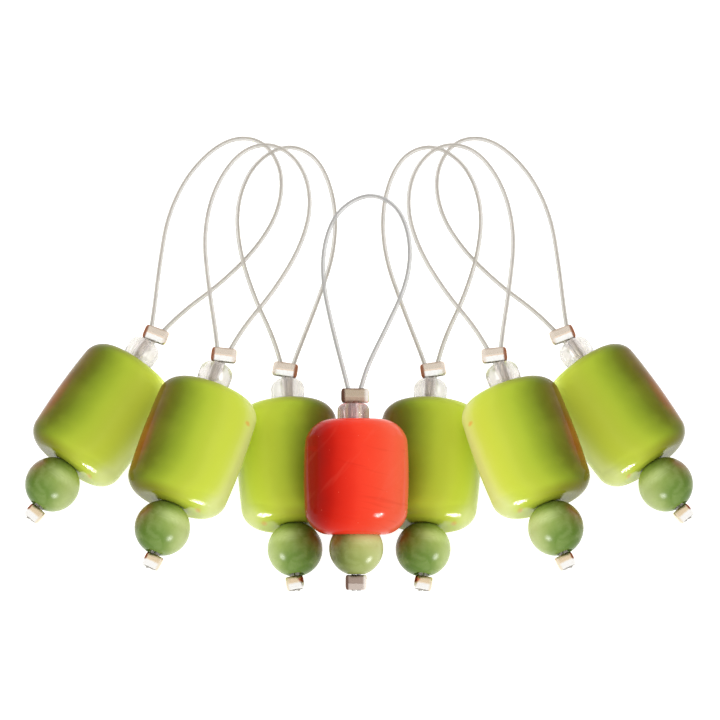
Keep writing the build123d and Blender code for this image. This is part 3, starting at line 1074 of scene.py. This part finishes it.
    def crimp_grid(self, crimp: Crimp) -> np.ndarray:
        """A tube pressed flat by pliers.

        Its outline across is a flat ring with round ends: the angle's cosine and sine, each raised
        to a power below 1, times half the width and half the height. Along it, the wall runs up the
        outside, over the lip and back down the inside. The outside is highest along a ridge across
        its middle and falls away to both lips, where its corners are rounded too, and a low uneven
        ripple leaves it dented. Last, it turns about its own middle.

        Args:
            crimp: its sizes and place.
        Returns:
            The grid of points.
        """
        s = self.seat.sizes
        length = crimp.length
        angle = even_angles(self.turns)
        rise = np.sin(np.linspace(-np.pi / 2, np.pi / 2, self.WALL_STEPS))
        flat = np.ones_like(rise)
        reach = length / 2 - s.crimp_wall / 6
        ridge = 1 - self.RIDGE_FALL * np.abs(rise) ** self.RIDGE_POWER
        outside = np.column_stack([rise * reach, ridge, 0 * rise])
        inside = np.column_stack([rise[::-1] * reach, flat, flat])
        top = np.array([[length / 2, *self.LIP]])
        wall = np.concatenate([outside, top, inside, top * np.array([-1, 1, 1])])
        along, fall, inner = wall[:, :1], wall[:, 1:2], wall[:, 2:]
        half_wide = crimp.width / 2 - s.crimp_wall * inner
        outer_high = s.crimp_height / 2 * fall
        half_high = outer_high * (1 - inner) + (s.crimp_height / 2 - s.crimp_wall) * inner
        cos, sin = np.cos(angle), np.sin(angle)
        across = np.sign(cos) * np.abs(cos) ** self.WIDE_POWER
        high = np.sign(sin) * np.abs(sin) ** self.HIGH_POWER
        wave = np.sin(self.DENT_WAVE[0] * angle + self.DENT_WAVE[1] * along) ** 2
        dent = 1 - self.DENT * (1 - inner) * wave * np.abs(sin)
        pinch = 1 - self.PINCH * (1 - inner) * np.abs(along / length * 2) ** self.PINCH_POWER
        points = np.stack([half_wide * across * pinch, along + 0 * angle, half_high * high * dent], axis=-1)
        turn = np.radians(crimp.turn)
        spin = np.array([[np.cos(turn), np.sin(turn), 0], [-np.sin(turn), np.cos(turn), 0], [0, 0, 1]])
        return points @ spin + np.array([crimp.offset, crimp.middle, 0.0])

    def wire_route(self) -> np.ndarray:
        """The doubled wire's line from one cut end round the loop to the other."""
        s = self.seat.sizes
        half_gap = self.wire_spacing / 2
        legs = [np.array([
            (s.tail_offset + side * half_gap, s.tail_end - self.wire_stub),
            (side * half_gap, -s.half),
            (s.seed_offset + side * half_gap, s.seed_low),
            (s.seed_offset + side * half_gap, s.neck_low),
            (leave, s.neck_high),
        ]) for side, leave in ((-1, s.exit_left), (1, s.exit_right))]
        start = np.array([(s.exit_left + s.exit_right) / 2, s.neck_high])
        lean = np.radians(self.seat.lean)
        turn = np.array([[np.cos(lean), np.sin(lean)], [-np.sin(lean), np.cos(lean)]])
        loop = start + np.array(s.loop_shares) * np.array([s.loop_width, s.loop_length]) @ turn
        flat = np.concatenate([legs[0], loop, legs[1][::-1]])
        fall = -self.seat.droop / s.loop_length * np.maximum(flat[:, 1] - s.neck_high, 0)
        return even_spacing(rounded_route(np.column_stack([flat, fall]), self.corner_steps),
                            self.route_step)

    def cable_grid(self, route: np.ndarray) -> np.ndarray:
        """The steel cable, moved off the middle against the shaded side of its coat.

        There it shows through as a dark line of painted shade along that side.

        Its radius is the cable's on the crown of each strand and less between the strands, by one
        less the cosine of half the strands' angle, which makes one turn a lay along the cable.
        """
        ahead = unit_rows(np.gradient(route, axis=0))
        # Painted shade: the real cable is moved towards the shaded side, so that it draws the dark line of
        # shade.
        shaded = np.array([-0.8, 0.6, 0.0])
        aside = shaded - ahead * (ahead @ shaded)[:, None]
        line = route + aside * self.cable_shift
        angle = even_angles(4 * self.strands)
        run = np.arange(len(route))[:, None] * self.route_step
        twist = self.strands / 2 * (angle - 2 * np.pi * run / self.cable_lay)
        radius = self.cable_radius * (1 - self.strand_depth * (1 - np.abs(np.cos(twist))))
        return tube_grid(line, radius, angle)


@dataclass(frozen=True)
class CatchLight:
    """A highlight: where it lies from its piece's middle, the surface's normal there, and its lamp."""

    place: tuple
    normal: tuple
    power: float
    size: float


@dataclass
class Studio:
    """Camera, floor and lights. Lengths in millimetres, powers in watts."""

    target: tuple = (0.1, -0.295, 8.0)
    elevation: float = 74.0
    distance: float = 450.0
    lens: float = 204.5
    clip: tuple = (0.01, 20)
    floor_size: float = 3000.0
    floor_drop: float = 0.03
    floor_lift: float = 0.75
    floor_colour: tuple = (0.86, 0.86, 0.86, 1)
    fill_distance: float = 200.0
    fill_size: float = 150.0
    fill_side: tuple = (1.0, -0.1, -0.1)
    softbox_distance: float = 260.0
    softbox_flatness: float = 0.8

    FILL_POWERS = {Glass.LIME: 0.10, Glass.RED: 0.02}
    BEAD_LIGHTS = {
        Glass.LIME: CatchLight((3.1, -6.35, 3.5), (0.415, -0.777, 0.473), power=4.2, size=110.0),
        Glass.RED: CatchLight((2.3, -4.7, 4.6), (0.43, -0.29, 0.85), power=4.2, size=110.0),
    }
    BALL_LIGHT = CatchLight((1.43, -1.3, 2.3), (0.477, -0.433, 0.767), power=0.9, size=105.0)
    SEED_LIGHT = CatchLight((0.8, -0.29, 1.55), (0.45, -0.1, 0.88), power=0.9, size=105.0)

    @property
    def eye(self) -> Vector:
        """The camera's place in metres."""
        tilt = np.radians(self.elevation)
        away = Vector((0, -np.cos(tilt), np.sin(tilt))) * self.distance
        return (Vector(self.target) + away) * MM

    def set_camera(self) -> None:
        """The camera, looking at the target."""
        data = bpy.data.cameras.new("camera")
        data.lens = self.lens
        data.clip_start, data.clip_end = self.clip
        camera = new_object("camera", data)
        camera.location = self.eye
        camera.rotation_euler = (Vector(self.target) * MM - self.eye).to_track_quat("-Z", "Y").to_euler()
        bpy.context.scene.camera = camera
        bpy.context.scene.view_settings.view_transform = "Standard"

    def seen_directly(self, recipe: Recipe) -> NodeSocket:
        """1 for rays that the camera, a gloss or clear glass sends straight here, and 0 for the rest."""
        path = recipe.add("LightPath").outputs
        either = recipe.math("MAXIMUM", path["Is Camera Ray"], path["Is Glossy Ray"])
        return recipe.math("MAXIMUM", either, path["Is Transmission Ray"])

    def set_world(self) -> None:
        """Plain white light from all round, at which a colour renders about as it is written."""
        world = bpy.data.worlds.new("studio")
        recipe = Recipe(empty_tree(world))
        light = recipe.add("Background", {"Color": (1, 1, 1, 1), "Strength": 1.0})
        recipe.add("OutputWorld", {"Surface": light.outputs[0]})
        bpy.context.scene.world = world

    def set_floor(self) -> None:
        """A white table that keeps the soft shadows."""
        half, low = self.floor_size / 2 * MM, -self.floor_drop * MM
        mesh = bpy.data.meshes.new("floor")
        mesh.from_pydata([(x * half, y * half, low) for x, y in ((-1, -1), (1, -1), (1, 1), (-1, 1))],
                         [], [(0, 1, 2, 3)])
        floor = new_object("floor", mesh)
        material = bpy.data.materials.new("white_table")
        recipe = Recipe(empty_tree(material))
        shader = recipe.add("BsdfPrincipled", {
            "Base Color": self.floor_colour, "Roughness": 1.0, "Specular IOR Level": 0.0,
            "Emission Color": (1, 1, 1, 1),
            "Emission Strength": recipe.times(self.seen_directly(recipe), self.floor_lift)})
        recipe.add("OutputMaterial", {"Surface": shader.outputs[0]})
        mesh.materials.append(material)

    def softbox(self, piece: Object, spot: Vector, towards: Vector, power: float, size: tuple,
                distance: float, gloss: bool) -> None:
        """Set up an unseen lamp that shines on one piece only.

        Args:
            piece: the piece that it lights.
            spot: the point that it is aimed at, in metres.
            towards: the direction from that point to the lamp.
            power: its power.
            size: its width and height.
            distance: how far away it stands.
            gloss: whether it shows in glosses only, or else gives soft light only.
        """
        name = piece.name + ("_light" if gloss else "_fill")
        data = bpy.data.lights.new(name, "AREA")
        data.shape = "ELLIPSE"
        data.size, data.size_y = size[0] * MM, size[1] * MM
        data.energy = power
        data.use_shadow = False
        lamp = new_object(name, data)
        lamp.location = spot + towards * distance * MM
        lamp.rotation_euler = (-towards).to_track_quat("-Z", "Y").to_euler()
        lamp.visible_camera = lamp.visible_transmission = False
        lamp.visible_glossy, lamp.visible_diffuse = gloss, not gloss
        group = bpy.data.collections.new(name + "_receivers")
        group.objects.link(piece)
        lamp.light_linking.receiver_collection = group

    def catch_light(self, seat: Seat, piece: Object, middle: tuple, light: CatchLight) -> None:
        """Put a softbox where the camera sees it mirrored at one place on a piece.

        The way to the lamp is 2 (n . v) n - v, with n the surface's normal and v the way to the camera.

        Args:
            seat: the marker.
            piece: the piece that shows the light.
            middle: the piece's middle, across and along the marker.
            light: the highlight.
        """
        x, y, z = light.place
        spot = seat.point(middle[0] + x, middle[1] + y, z)
        view = (self.eye - spot).normalized()
        normal = seat.direction(*light.normal)
        towards = 2 * normal.dot(view) * normal - view
        size = (light.size, light.size * self.softbox_flatness)
        self.softbox(piece, spot, towards, light.power, size, self.softbox_distance, True)

    def light_marker(self, seat: Seat, pieces: list) -> None:
        """Give the beads window-like highlights, and the large one soft light on its light side."""
        s = seat.sizes
        middles = ((0.0, 0.0), (0.0, s.ball_place), (s.seed_offset, s.seed_middle))
        for piece, middle, light in zip(
                pieces, middles, (self.BEAD_LIGHTS[seat.glass], self.BALL_LIGHT, self.SEED_LIGHT)):
            self.catch_light(seat, piece, middle, light)
        self.softbox(pieces[0], seat.point(0, 0, 0), seat.direction(*self.fill_side),
                     self.FILL_POWERS[seat.glass], (self.fill_size,) * 2, self.fill_distance, False)


def main() -> None:
    """Build the studio and the seven markers."""
    logging.basicConfig(level=logging.INFO, format="%(name)s: %(message)s")
    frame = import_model()
    studio = Studio()
    studio.set_camera()
    studio.set_world()
    studio.set_floor()
    effects = Effects()
    for seat in SEATS:
        pieces = Marker(seat.find(frame["joints"]), effects).build()
        studio.light_marker(seat, pieces)


if __name__ == "__main__":
    main()
